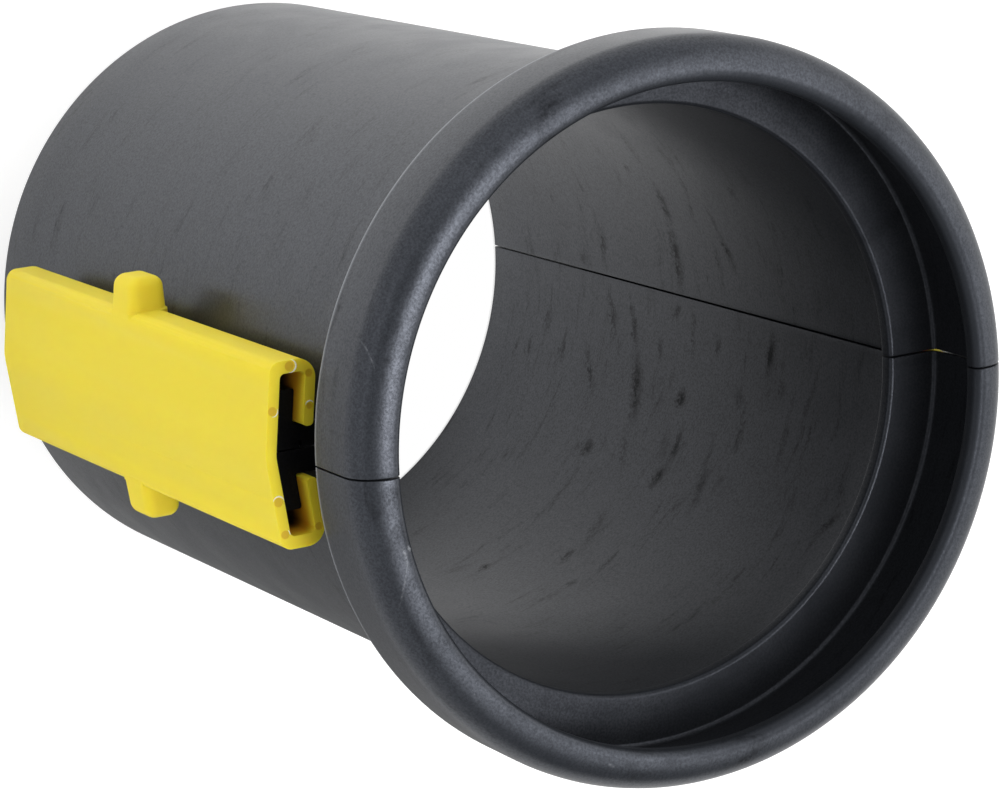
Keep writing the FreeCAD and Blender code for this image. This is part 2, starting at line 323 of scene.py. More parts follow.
# The burrs' light colour is a painted highlight.
CLIP_BURR_HIGHLIGHT = (0.92, 0.90, 0.72, 1)
CLIP_GLOW_SHARE = 0.4
CLIP_GLOW_COLOUR = (1.0, 0.7, 0.1)
CLIP_GLOW_METRES = 0.0025
CLIP_IOR = 1.49
CLIP_GLOSS = 0.3
CLIP_ROUGHNESS = (0.54, 0.62)
CLIP_GRAIN_SCALE = 1.5
CLIP_GRAIN_RELIEF = 0.08
CLIP_MOTTLE_SCALE = 0.06

# The limits of the clips' zones in the same form: the channel's sides, floor and roof, the depths at which
# its painted shade turns orange and brown, and the levels of the marks and of the painted highlight on the
# front face's burrs
CHANNEL_SIDES = (CHANNEL_HALF_WIDTH, CHANNEL_HALF_WIDTH + 0.15)
CHANNEL_FLOOR_HEIGHTS = (CHANNEL_FLOOR - 0.2, CHANNEL_FLOOR - 0.05)
CHANNEL_ROOF_HEIGHTS = (CHANNEL_ROOF + 0.05, CHANNEL_ROOF + 0.2)
SHADE_ORANGE_DEPTHS = (0.3, 4.0)
SHADE_BROWN_DEPTHS = (3.4, 8.5)
PIN_MARK_LEVELS = (CLIP_FACE - 0.3, CLIP_FACE - 0.15)
PIN_MARK_SOFTNESS = 0.12
BURR_HIGHLIGHT_LEVELS = (CLIP_FACE + 0.01, CLIP_FACE + 0.04)

# The soft lights, each (azimuth from +X towards +Y, elevation, strength, narrowness), in degrees
SOFT_LIGHTS = (
    (0, 90, 4.4, 24),
    (0, 62, 2.3, 24),
    (50, 50, 1.4, 24),
    (45, 62, 0.5, 24),
    (90, 62, 2.4, 24),
    (135, 62, 1.1, 24),
    (180, 62, 0.6, 24),
    (270, 62, 0.6, 24),
    (90, 38, 0.9, 24),
    (120, 38, 1.7, 24),
    (180, 38, 0.6, 24),
    (210, 38, 0.5, 24),
    (300, 38, 0.3, 24),
    (60, 14, 1.2, 24),
    (90, 14, 1.5, 24),
    (120, 14, 1.55, 24),
    (150, 14, 0.7, 24),
    (180, 14, 1.05, 24),
    (210, 14, 0.9, 24),
    (240, 14, 1.35, 24),
    (270, 14, 1.25, 24),
    (300, 14, 0.65, 24),
    (330, 14, 0.8, 24),
    (60, 82, 9.5, 60),
)
LIGHT_COLOUR = (1.0, 1.0, 1.0, 1)

# The floor, and how strongly it glows in a gloss: close by on the -X side and on the +X side, and
# far off, with the values of x and the distances between which that changes
FLOOR_RADIUS = 6000
FLOOR_LEVEL = -0.1
FLOOR_COLOUR = (0.8, 0.8, 0.8, 1)
FLOOR_GLOW_SIDES = (1.20, 0.20)
FLOOR_GLOW_LIMITS = (-100.0, 100.0)
FLOOR_GLOW_FAR = 0.95
FLOOR_GLOW_DISTANCES = (120.0, 240.0)
FLOOR_WHITE = 1.5
FLOOR_CAMERA_SHARE = 0.5
FLOOR_GLOSS_SHARE = 0.9

# The backdrop under the bore, the middle of its glow in a gloss, and how strong that is there and
# at the far edge
BACKDROP_RADIUS = BORE_RADIUS - 0.2
BACKDROP_LEVEL = 0.05
BACKDROP_GLOW_MIDDLE = (-8.0, 24.0)
BACKDROP_GLOW_DISTANCES = (25.0, 70.0)
BACKDROP_GLOW = (1.0, 0.12)


def rounded_outline(corners, step):
    """A closed outline with rounded corners, as points. Each corner is (across, up, radius)."""
    points = []
    count = len(corners)
    for number, (x, y, radius) in enumerate(corners):
        here = Vector((x, y))
        if radius <= 0:
            points.append(here)
            continue
        back = (Vector(corners[number - 1][:2]) - here).normalized()
        ahead = (Vector(corners[(number + 1) % count][:2]) - here).normalized()
        opening = back.angle(ahead)
        turn = math.pi - opening
        reach = radius / math.tan(opening / 2)
        centre = here + (back + ahead).normalized() * (radius / math.sin(opening / 2))
        start = here + back * reach - centre
        sense = 1 if back.x * ahead.y - back.y * ahead.x < 0 else -1
        pieces = max(2, round(math.degrees(turn) / step))
        for piece in range(pieces + 1):
            angle = sense * turn * piece / pieces
            cos, sin = math.cos(angle), math.sin(angle)
            points.append(centre + Vector((start.x * cos - start.y * sin, start.x * sin + start.y * cos)))
    return points


def divided(points, longest):
    """The same outline, with long runs divided into equal parts."""
    made = []
    for number, point in enumerate(points):
        following = points[(number + 1) % len(points)]
        parts = max(1, math.ceil((following - point).length / longest))
        made += [point.lerp(following, part / parts) for part in range(parts)]
    return made


def outline_normals(points):
    """The outward normal at each point of an anticlockwise outline."""
    normals = []
    for number, point in enumerate(points):
        before = (point - points[number - 1]).normalized()
        after = (points[(number + 1) % len(points)] - point).normalized()
        along = (before + after).normalized()
        normals.append(Vector((along.y, -along.x)))
    return normals


def box_outline(left, right, low, high):
    """A rectangle, as points."""
    return [Vector(corner) for corner in ((left, low), (right, low), (right, high), (left, high))]


def circle_outline(x, y, radius, sides):
    """A circle, as points."""
    angles = [2 * math.pi * number / sides for number in range(sides)]
    return [Vector((x + radius * math.cos(angle), y + radius * math.sin(angle))) for angle in angles]


def quarter_round(radius, steps):
    """Pairs of numbers along a quarter round, from (0, radius) to (radius, 0)."""
    turns = [math.pi / 2 * step / steps for step in range(steps + 1)]
    return [(radius * (1 - math.cos(turn)), radius * (1 - math.sin(turn))) for turn in turns]


def new_mesh_object(name, vertices, faces):
    """A mesh object from points in millimetres."""
    mesh = bpy.data.meshes.new(name)
    mesh.from_pydata([Vector(vertex) * MM for vertex in vertices], [], faces)
    mesh.validate()
    made = bpy.data.objects.new(name, mesh)
    bpy.context.scene.collection.objects.link(made)
    return made


def point_outward(made):
    """Turn a closed mesh's faces so that they all point outward."""
    work = bmesh.new()
    work.from_mesh(made.data)
    bmesh.ops.recalc_face_normals(work, faces=work.faces)
    work.to_mesh(made.data)
    work.free()


def loft(name, sections):
    """A closed solid through sections with the same number of points, each a list of places."""
    ring = len(sections[0])
    last = ring * (len(sections) - 1)
    faces = [list(range(ring)), list(range(last, last + ring))]
    for low in range(0, last, ring):
        for number in range(ring):
            following = (number + 1) % ring
            faces.append([low + number, low + following, low + ring + following, low + ring + number])
    made = new_mesh_object(name, [place for section in sections for place in section], faces)
    point_outward(made)
    return made


def prism(name, outline, low, high):
    """A straight solid from an outline, from low to high along the axis."""
    return loft(name, [[(point.x, point.y, level) for point in outline] for level in (low, high)])


def apply_modifiers(made):
    """Replace an object's mesh by what its modifiers make of it."""
    bpy.context.view_layer.update()
    shown = made.evaluated_get(bpy.context.evaluated_depsgraph_get())
    mesh = bpy.data.meshes.new_from_object(shown)
    made.modifiers.clear()
    made.data = mesh


def combine(body, tool, operation):
    """Join a tool to a body, or cut it away, and drop the tool."""
    modifier = body.modifiers.new("Combine", "BOOLEAN")
    modifier.operation = operation
    modifier.solver = "EXACT"
    modifier.object = tool
    apply_modifiers(body)
    bpy.data.objects.remove(tool)


def finish_mesh(made, turn):
    """Shade an object smooth, with its sharper edges kept, and turn it about the axis."""
    made.data.polygons.foreach_set("use_smooth", [True] * len(made.data.polygons))
    made.data.set_sharp_from_angle(angle=math.radians(SMOOTH_ANGLE))
    made.data.transform(Matrix.Rotation(turn, 4, "Z"))


def tilted(height, across):
    """The height of a wall that falls away from the split plane at the spine's tilt."""
    return height - abs(across) * math.tan(SPINE_TILT)


def wall_outline():
    """The wall in section, as (radius, level), anticlockwise from the plain end's inner edge."""
    corners = [
        (BORE_RADIUS, 0, TUBE_END_ROUND),
        (SPIGOT_RADIUS, 0, TUBE_END_ROUND),
        (SPIGOT_RADIUS, TUBE_LENGTH - FLARE_LENGTH, FLARE_FOOT_ROUND),
        (BAND_RADIUS, TUBE_LENGTH + BAND_SETBACK, BAND_EDGE_ROUND),
        (BAND_RADIUS, MOUTH_LEVEL, BEAD_ROUND),
        (MOUTH_RADIUS, MOUTH_LEVEL, LIP_EDGE_ROUND),
        (MOUTH_RADIUS, LIP_LAND_FOOT, LIP_LAND_ROUND),
        (SOCKET_RADIUS, LIP_LAND_FOOT - LIP_UNDERSIDE_RISE, SOCKET_HEAD_ROUND),
        (SOCKET_RADIUS, TUBE_LENGTH, SOCKET_FOOT_ROUND),
        (RING_RADIUS, TUBE_LENGTH, RING_FACE_ROUND),
        (RING_RADIUS, TUBE_LENGTH - RING_WIDTH, RING_BACK_ROUND),
        (BORE_RADIUS, TUBE_LENGTH - RING_WIDTH, RING_BACK_ROUND),
    ]
    return divided(rounded_outline(corners, WALL_CORNER_STEP), WALL_LONGEST_RUN)


def seam_section(outline, x, inset, side):
    """The wall's section beside a seam: at x from the split plane, and drawn in by an inset."""
    section = []
    for point, normal in zip(outline, outline_normals(outline)):
        radius = point.x - inset * normal.x
        section.append((x, side * math.sqrt(radius * radius - x * x), point.y - inset * normal.y))
    return section


def swept_section(outline, share):
    """The wall's section between the seams, whose shares are -1 and 1."""
    section = []
    for point in outline:
        angle = share * math.acos((SPLIT_FACE + SEAM_ROUND) / point.x)
        section.append((point.x * math.cos(angle), point.x * math.sin(angle), point.y))
    return section


def half_wall(name):
    """Half of the wall, swept round the axis on the +X side, with its seam edges rounded."""
    outline = wall_outline()
    edge = [(SPLIT_FACE + x, inset) for x, inset in quarter_round(SEAM_ROUND, SEAM_ROUND_STEPS)[:-1]]
    sections = [seam_section(outline, x, inset, -1) for x, inset in edge]
    for step in range(WALL_SWEEP_STEPS + 1):
        sections.append(swept_section(outline, 2 * step / WALL_SWEEP_STEPS - 1))
    sections += [seam_section(outline, x, inset, 1) for x, inset in reversed(edge)]
    return loft(name, sections)


def rail_outline(side):
    """A rail in section on the -Y side (side -1) or the +Y side (side 1), for the shell at +X."""
    neck = HOOK_TIP - SLIDE_CLEARANCE
    head = RAIL_HALF_WIDTH
    floor = CHANNEL_FLOOR + SLIDE_CLEARANCE
    roof = CHANNEL_ROOF - SLIDE_CLEARANCE
    corners = [
        (SPLIT_FACE, side * RAIL_ROOT, 0),
        (neck, side * RAIL_ROOT, 0),
        (neck, side * tilted(floor, neck), RAIL_NECK_ROUND),
        (head, side * tilted(floor, head), RAIL_HEAD_ROUND),
        (head, side * tilted(roof, head), RAIL_HEAD_ROUND),
        (SPLIT_FACE, side * tilted(roof, SPLIT_FACE), SEAM_ROUND),
    ]
    return rounded_outline(corners, RAIL_CORNER_STEP)


def half_shell(name, turn):
    """One half shell, turned about the axis: half a wall, its two rails, a tongue and its slot."""
    made = half_wall(name)
    for side in (-1, 1):
        combine(made, prism("rail", rail_outline(side), RAIL_BACK, RAIL_FRONT), "UNION")
    low, high = TONGUE_MIDDLE - TONGUE_HALF_WIDTH, TONGUE_MIDDLE + TONGUE_HALF_WIDTH
    tongue = box_outline(-TONGUE_REACH, HOOK_TIP / 2, -high, -low)
    tongue_ends = (RAIL_BACK + TONGUE_END_SETBACK, RAIL_FRONT - TONGUE_END_SETBACK)
    combine(made, prism("tongue", tongue, *tongue_ends), "UNION")
    slot_reach = TONGUE_REACH + TONGUE_CLEARANCE
    slot = box_outline(-CUT_MARGIN, slot_reach, low - TONGUE_CLEARANCE, high + TONGUE_CLEARANCE)
    combine(made, prism("slot", slot, RAIL_BACK - CUT_MARGIN, RAIL_FRONT + CUT_MARGIN), "DIFFERENCE")
    finish_mesh(made, turn)
    return made


def clip_outline():
    """The locking clip in section on the -Y side: a bent spine, two arms and two hooks."""
    half = [
        (CLIP_HALF_WIDTH, -tilted(SPINE_BACK, CLIP_HALF_WIDTH), SPINE_CORNER_ROUND),
        (CLIP_HALF_WIDTH, -tilted(HOOK_ROOT, CLIP_HALF_WIDTH), HOOK_CORNER_ROUND),
        (HOOK_TIP, -tilted(HOOK_ROOT, HOOK_TIP), HOOK_TIP_ROUND),
        (HOOK_TIP, -tilted(CHANNEL_FLOOR, HOOK_TIP), HOOK_TIP_ROUND),
        (CHANNEL_HALF_WIDTH, -tilted(CHANNEL_FLOOR, CHANNEL_HALF_WIDTH), CHANNEL_CORNER_ROUND),
        (CHANNEL_HALF_WIDTH, -tilted(CHANNEL_ROOF, CHANNEL_HALF_WIDTH), CHANNEL_CORNER_ROUND),
    ]
    mirrored = [(-x, y, radius) for x, y, radius in reversed(half)]
    outer_bend = (0, -SPINE_BACK, SPINE_BEND_ROUND)
    inner_bend = (0, -CHANNEL_ROOF, CHANNEL_BEND_ROUND)
    corners = [outer_bend] + half + [inner_bend] + mirrored
    return divided(rounded_outline(corners, CLIP_CORNER_STEP), CLIP_LONGEST_RUN)


def lug_section(side, x, half_length, outer, inner, corner):
    """A lug's section at a distance x from the split plane: a rectangle with round corners."""
    corners = [
        (outer, LUG_MIDDLE - half_length, corner),
        (inner, LUG_MIDDLE - half_length, corner),
        (inner, LUG_MIDDLE + half_length, corner),
        (outer, LUG_MIDDLE + half_length, corner),
    ]
    return [(side * x, point.x, point.y) for point in rounded_outline(corners, LUG_CORNER_STEP)]


def lug(side):
    """A driving lug, like a cushion: a round foot on the arm, drafted walls and a round top."""
    sections = []

    def section(height, grow=0.0, shrink=0.0):
        """A section at a height above the arm, grown at the foot or shrunk at the top."""
        x = CLIP_HALF_WIDTH + height
        taper = max(height, 0) * math.tan(LUG_DRAFT)
        half_length = LUG_HALF_LENGTH - taper + grow - shrink
        outer = -tilted(SPINE_BACK, x) + shrink
        inner = -tilted(SPINE_BACK, CLIP_HALF_WIDTH) + LUG_DEPTH - taper + grow - shrink
        corner = LUG_ROUND + grow - shrink * LUG_TOP_CORNER_SHARE
        sections.append(lug_section(side, x, half_length, outer, inner, corner))

    section(-LUG_SUNK_FOOT, grow=LUG_ROOT_ROUND)
    for height, grow in quarter_round(LUG_ROOT_ROUND, LUG_ROUND_STEPS)[:-1]:
        section(height, grow=grow)
    for shrink, fall in quarter_round(LUG_ROUND, LUG_ROUND_STEPS):
        section(LUG_HEIGHT - fall, shrink=shrink)
    return loft("lug", sections)


def lug_shoulder(side):
    """The part of a lug that carries the spine's face straight on over the rounded corner."""
    sections = []
    start, end = CLIP_HALF_WIDTH - SPINE_CORNER_ROUND, CLIP_HALF_WIDTH - SHOULDER_END_GAP
    for x, sunk in ((start, SHOULDER_SINK), (end, 0.0)):
        outer = -tilted(SPINE_BACK, x) + sunk
        half_length = LUG_HALF_LENGTH - SHOULDER_SETBACK
        sections.append(lug_section(side, x, half_length, outer, outer + SHOULDER_DEPTH, SHOULDER_ROUND))
    return loft("shoulder", sections)


def pin_mark(x, y, radius):
    """The shallow round recess that an ejector pin leaves."""
    circle = circle_outline(x, y, radius, PIN_MARK_SIDES)
    return prism("pin_mark", circle, CLIP_FACE - PIN_MARK_DEPTH, CLIP_FACE + CUT_MARGIN)


def burr(x, y, radius, first, last, thickness):
    """A thin bent ridge on the clip's front face, which runs out at both ends."""
    sections = []
    for step in range(BURR_STEPS + 1):
        share = step / BURR_STEPS
        angle = math.radians(first + (last - first) * share)
        half = thickness * (BURR_END_SHARE + (1 - BURR_END_SHARE) * math.sin(math.pi * share))
        section = []
        for number in range(BURR_SIDES):
            turn = 2 * math.pi * number / BURR_SIDES
            reach = radius + half * math.cos(turn)
            level = CLIP_FACE + half * math.sin(turn)
            section.append((x + reach * math.sin(angle), y + reach * math.cos(angle), level))
        sections.append(section)
    return loft("burr", sections)


def locking_clip(name, turn):
    """One locking clip: a channel with a lug on each side, and the marks of its mould."""
    made = prism(name, clip_outline(), CLIP_BACK, CLIP_FACE)
    for side in (-1, 1):
        combine(made, lug_shoulder(side), "UNION")
        combine(made, lug(side), "UNION")
    bevel = made.modifiers.new("Edges", "BEVEL")
    bevel.width = CLIP_BEVEL * MM
    bevel.segments = CLIP_BEVEL_PARTS
    bevel.limit_method = "ANGLE"
    bevel.angle_limit = math.radians(CLIP_BEVEL_ANGLE)
    apply_modifiers(made)
    for mark in PIN_MARKS:
        combine(made, pin_mark(*mark), "DIFFERENCE")
    for ridge in BURRS:
        combine(made, burr(*ridge), "UNION")
    finish_mesh(made, turn)
    return made


class Nodes:
    """Adds shader nodes to a tree."""

    # The numbers of a mix node's sockets for colours
    MIX_FIRST, MIX_SECOND, MIX_RESULT = 6, 7, 2

    def __init__(self, tree):
        self.tree = tree
        tree.nodes.clear()

    def add(self, kind, **settings):
        """A node of a kind, with its settings."""
        node = self.tree.nodes.new(kind)
        for name, value in settings.items():
            setattr(node, name, value)
        return node

    def feed(self, socket, value):
        """Give a socket a constant, or link it to an output."""
        if isinstance(value, bpy.types.NodeSocket):
            self.tree.links.new(value, socket)
        else:
            socket.default_value = value

    def fill(self, node, values):
        """Feed a node's sockets, given by name or number."""
        for key, value in values.items():
            self.feed(node.inputs[key], value)

    def math(self, operation, *values, clamp=False):
        """One arithmetic step."""
        node = self.add("ShaderNodeMath", operation=operation, use_clamp=clamp)
        self.fill(node, dict(enumerate(values)))
        return node.outputs[0]

    def product(self, first, *others):
        """The product of values."""
        for other in others:
            first = self.math("MULTIPLY", first, other)
        return first

    def vector(self, *parts):
        """A vector from three numbers."""
        node = self.add("ShaderNodeCombineXYZ")
        self.fill(node, dict(enumerate(parts)))
        return node.outputs[0]

    def noise(self, vector, scale, detail=2.0, roughness=0.5, distortion=0.0):
        """Noise between 0 and 1."""
        node = self.add("ShaderNodeTexNoise")
        self.fill(node, {"Vector": vector, "Scale": scale, "Detail": detail})
        self.fill(node, {"Roughness": roughness, "Distortion": distortion})
        return node.outputs["Fac"]

    def between(self, value, low, high, out_low=0.0, out_high=1.0):
        """A smooth step from low to high."""
        node = self.add("ShaderNodeMapRange", interpolation_type="SMOOTHSTEP")
        self.fill(node, {"Value": value, "From Min": low, "From Max": high})
        self.fill(node, {"To Min": out_low, "To Max": out_high})
        return node.outputs["Result"]

    def beyond(self, value, low, high):
        """A smooth step down from 1 at low to 0 at high."""
        return self.between(value, low, high, 1.0, 0.0)

    def mix(self, share, first, second):
        """A mix of two colours."""
        node = self.add("ShaderNodeMix", data_type="RGBA")
        self.fill(node, {"Factor": share, self.MIX_FIRST: first, self.MIX_SECOND: second})
        return node.outputs[self.MIX_RESULT]

    def place(self):
        """The place on the object in millimetres, as three numbers."""
        split = self.add("ShaderNodeSeparateXYZ")
        self.feed(split.inputs[0], self.add("ShaderNodeTexCoord").outputs["Object"])
        return [self.math("DIVIDE", output, MM) for output in split.outputs]

    def distance(self, first, second):
        """The length of a vector with two parts."""
        return self.math("SQRT", self.math("ADD", self.product(first, first), self.product(second, second)))

    def near(self, value, middle, reach):
        """1 where a value is at its middle, and smoothly 0 beyond its reach."""
        return self.beyond(self.math("ABSOLUTE", self.math("SUBTRACT", value, middle)), 0.0, reach)

    def bump(self, height, strength):
        """A bump from a height between 0 and 1."""
        node = self.add("ShaderNodeBump")
        self.fill(node, {"Height": height, "Strength": strength, "Distance": RELIEF_METRES})
        return node.outputs["Normal"]

    def principled(self, values):
        """Put a principled shader with these inputs on the surface."""
        shader = self.add("ShaderNodeBsdfPrincipled")
        self.fill(shader, values)
        self.surface(shader)

    def surface(self, shader, kind="ShaderNodeOutputMaterial"):
        """Put a shader on the surface output."""
        self.fill(self.add(kind), {"Surface": shader.outputs[0]})


def new_material(name):
    """A material, and its nodes to add."""
    material = bpy.data.materials.new(name)
    material.use_nodes = True
    return material, Nodes(material.node_tree)


def photo_ray(pixel):
    """The direction from the camera through a pixel of the photograph."""
    scale = CAMERA_SENSOR / CAMERA_LENS / PHOTO_WIDTH
    across = (pixel[0] - PHOTO_WIDTH / 2) * scale
    upward = (PHOTO_HEIGHT / 2 - pixel[1]) * scale
    return (CAMERA_FORWARD + CAMERA_RIGHT * across + CAMERA_UP * upward).normalized()


def place_in_bore(pixel):
    """Where a pixel's ray meets the bore's far wall: (the place round the tube, the level) and x."""
    ray = photo_ray(pixel)
    flat_ray, flat_start = ray.xy, CAMERA_PLACE.xy
    square = flat_ray.dot(flat_ray)
    half = flat_ray.dot(flat_start)
    rest = flat_start.dot(flat_start) - BORE_RADIUS ** 2
    reach = (-half + math.sqrt(half * half - square * rest)) / square
    point = CAMERA_PLACE + ray * reach
    around = math.atan2(point.y, abs(point.x)) * SPIGOT_RADIUS
    return Vector((around, point.z)), point.x


def place_on_bead(pixel):
    """Where a pixel's ray meets the level of the bead's scratches: (x, y) and x."""
    ray = photo_ray(pixel)
    point = CAMERA_PLACE + ray * ((SCRATCH_LEVEL - CAMERA_PLACE.z) / ray.z)
    return point.xy, point.x


def strokes(n, flat_place, marks, find_place, side, spread=1.0):
    """The strength of the long round-ended marks at a flat place, for the shell on one side."""
    covered = 0.0
    for start, end, half_width, strength in marks:
        first, first_x = find_place(start)
        last, last_x = find_place(end)
        if first_x + last_x < 0 < side or side < 0 < first_x + last_x:
            continue
        middle, along = (first + last) / 2, last - first
        local = n.add("ShaderNodeMapping", vector_type="TEXTURE")
        n.fill(local, {
            "Vector": flat_place,
            "Location": (middle.x, middle.y, 0),
            "Rotation": (0, 0, math.atan2(along.y, along.x)),
            "Scale": (along.length / 2 + half_width, half_width * spread, 1),
        })
        reach = n.add("ShaderNodeVectorMath", operation="LENGTH")
        n.feed(reach.inputs[0], local.outputs[0])
        mark = n.between(reach.outputs["Value"], STROKE_CORE, STROKE_END, strength, 0.0)
        covered = n.math("MAXIMUM", covered, mark)
    return covered


def spots(n, x, y, marks, soft):
    """1 inside the round marks, each (x, y, radius), and 0 outside them."""
    covered = 0.0
    for mark_x, mark_y, radius in marks:
        away = n.distance(n.math("SUBTRACT", x, mark_x), n.math("SUBTRACT", y, mark_y))
        covered = n.math("MAXIMUM", covered, n.beyond(away, radius - soft, radius + soft))
    return covered


def drawn_out(n, around, z, scales, layer):
    """The unrolled wall, scaled round the tube and along it, as a layer of a noise."""
    scale_around, scale_along = scales
    return n.vector(n.product(around, scale_around), n.product(z, scale_along), layer)


def faint_streaks(n, around, z, ragged, side):
    """The faint streaks that lie in patches on the whole tube."""
    flow = drawn_out(n, around, z, STREAK_SCALES, STREAK_LAYER * side)
    drift = drawn_out(n, around, z, PATCH_SCALES, PATCH_LAYER + side)
    streaks = n.between(n.noise(flow, 1.0, detail=4.0, roughness=0.65, distortion=0.4), *STREAK_STEP)
    patches = n.between(n.noise(drift, 1.0, detail=1.0), *PATCH_STEP)
    return n.product(streaks, patches, n.between(ragged, *FAINT_BREAKS))


def bore_smears(n, around, z, ragged, blotches, side):
    """The bore's stronger smears, which have ragged edges, and the thin mark near its rim."""
    shift = n.product(n.math("SUBTRACT", ragged, 0.5), SMEAR_RAGGEDNESS)
    unrolled = n.vector(n.math("ADD", around, shift), n.math("ADD", z, shift), 0.0)
    smears = strokes(n, unrolled, SMEARS, place_in_bore, side, spread=SMEAR_SPREAD)
    smears = n.math("MULTIPLY", smears, n.between(blotches, *SMEAR_BREAKS), clamp=True)
    thin = strokes(n, n.vector(around, z, 0.0), RIM_MARKS, place_in_bore, side)
    return n.math("MAXIMUM", smears, thin)


def edge_highlight_and_scratches(n, x, y, z, radius, ragged, side):
    """A painted highlight on the bell's back edge, and the light scratches on its bead."""
    edge_level = n.near(z, TUBE_LENGTH + BAND_SETBACK, EDGE_HIGHLIGHT_REACH)
    edge_highlight = n.product(edge_level, n.between(radius, *EDGE_HIGHLIGHT_RADII), EDGE_HIGHLIGHT_SHARE)
    scratched = strokes(n, n.vector(x, y, 0.0), SCRATCHES, place_on_bead, side)
    scratched = n.product(scratched, n.between(z, *BEAD_LEVELS), n.between(ragged, *SCRATCH_BREAKS))
    return n.math("MAXIMUM", edge_highlight, scratched)


def shell_material(name, side):
    """Black polyethylene with dark flow streaks that run round the tube, with painted shade in the socket
    and on the rails and a painted highlight on the bell's back edge, for the shell on one side.
    """
    material, n = new_material(name)
    x, y, z = n.place()
    radius = n.distance(x, y)
    around = n.product(n.math("ARCTAN2", y, n.math("ABSOLUTE", x)), SPIGOT_RADIUS)
    place = n.vector(x, y, z)
    grain = n.noise(place, GRAIN_SCALE, roughness=0.7)
    ragged = n.noise(place, RAGGED_SCALE, detail=3.0, roughness=0.7)
    blotches = n.noise(place, BLOTCH_SCALE, detail=4.0, roughness=0.75)
    mottle = n.noise(place, MOTTLE_SCALE, detail=4.0, roughness=0.6)

    # The bore, the socket behind the bead, the bead's inner edge on the +Y side and the rails are dull, and
    # the socket and the rails are also darkened as painted shade
    in_bore = n.beyond(radius, *BORE_RADII)
    socket_foot = n.between(z, *SOCKET_FOOT_LEVELS)
    socket_shade_mask = n.product(socket_foot, n.beyond(z, *SOCKET_HEAD_LEVELS), n.beyond(radius, *SOCKET_RADII))
    inner_edge = n.product(n.between(z, *INNER_EDGE_LEVELS), n.beyond(radius, *INNER_EDGE_RADII))
    rail_shade_mask = n.product(n.between(radius, *RAIL_RADII), n.beyond(z, *RAIL_LEVELS))
    smears = n.product(in_bore, bore_smears(n, around, z, ragged, blotches, side))
    streak = n.math("MAXIMUM", faint_streaks(n, around, z, ragged, side), smears)
    zones = {
        "streak": streak,
        "socket": socket_shade_mask,
        "bore": in_bore,
        "inner_edge": n.product(inner_edge, n.between(y, *INNER_EDGE_SIDES)),
        "rail": rail_shade_mask,
    }

    base = n.mix(mottle, SHELL_DARK, SHELL_LIGHT)
    base = n.mix(n.product(streak, STREAK_SHARE), base, SHELL_STREAK_AND_SHADE)
    # Painted shade in the socket behind the bead
    base = n.mix(n.product(socket_shade_mask, SOCKET_SHADE_SHARE), base, SHELL_STREAK_AND_SHADE)
    # A painted highlight on the bell's back edge, and the bead's light scratches
    base = n.mix(edge_highlight_and_scratches(n, x, y, z, radius, ragged, side), base, SHELL_EDGE_HIGHLIGHT_AND_SCRATCH)
    # Painted shade on the rails under the clips
    base = n.mix(rail_shade_mask, base, SHELL_RAIL_SHADE)

    low, high = SHELL_GLOSS * (1 - SHELL_GLOSS_SWING), SHELL_GLOSS * (1 + SHELL_GLOSS_SWING)
    gloss = n.product(n.between(mottle, *MOTTLE_LIMITS, low, high), n.between(grain, *GRAIN_STEP))
    for zone, share in DULLING.items():
        gloss = n.product(gloss, n.math("SUBTRACT", 1.0, n.product(zones[zone], share)))
    low, high = SHELL_ROUGHNESS - SHELL_ROUGHNESS_SWING, SHELL_ROUGHNESS + SHELL_ROUGHNESS_SWING
    n.principled({
        "Base Color": base,
        "Roughness": n.between(mottle, *MOTTLE_LIMITS, low, high),
        "IOR": SHELL_IOR,
        "Specular IOR Level": gloss,
        "Specular Tint": SHELL_GLOSS_TINT,
        "Normal": n.bump(grain, SHELL_GRAIN_RELIEF),
    })
    return material


